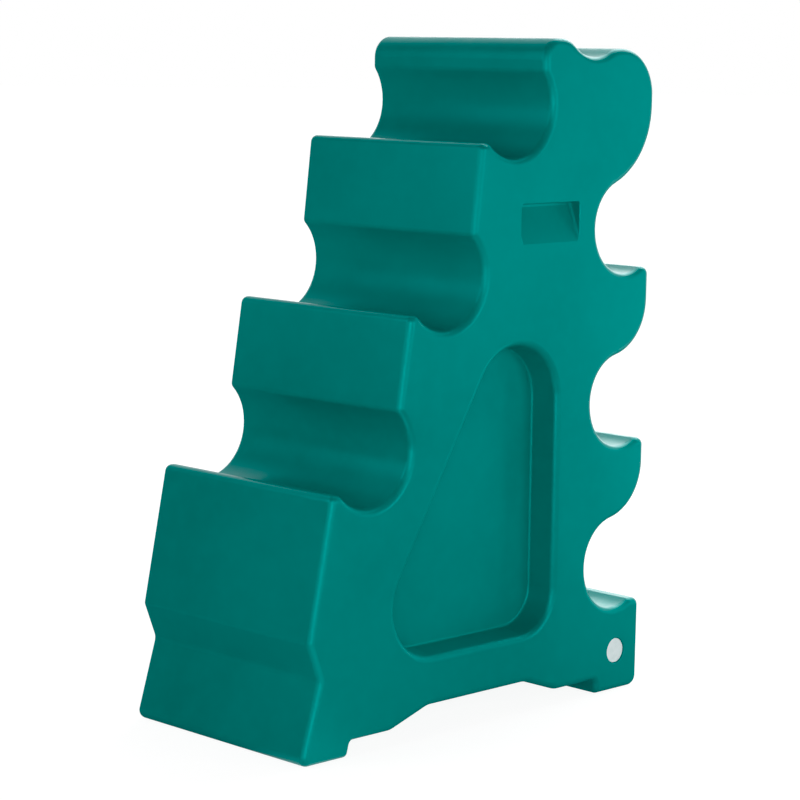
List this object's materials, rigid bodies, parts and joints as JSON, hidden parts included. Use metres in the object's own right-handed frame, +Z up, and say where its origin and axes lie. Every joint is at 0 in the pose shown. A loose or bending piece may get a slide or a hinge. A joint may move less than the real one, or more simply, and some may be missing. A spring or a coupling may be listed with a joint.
{
  "type": "mounting block",
  "caption": "Stepped hollow plastic mounting block with round pole cups up the front, top and rear, a blind recess and finger grip in each side, and a push-in filler bung.",
  "frame": {"origin": "at ground level, under the middle of the block's box", "axes": "+Z up; +Y rearwards, so the treads face -Y; +X is the side with the bung"},
  "size_m": [0.2916, 0.5711, 0.8],
  "materials": {
    "shell": "teal rotomoulded polyethylene, fine satin texture",
    "bung": "white moulded plastic",
    "seal": "black flat washer"
  },
  "bodies": {
    "block": {"block_shell": "shell"},
    "bung": {"filler_bung": "bung", "bung_seal": "seal"}
  },
  "joints": [
    {"name": "bung_pull", "type": "slide", "parent": "block", "child": "bung", "axis": [1, 0, 0], "range_m": [0, 0.03]}
  ]
}
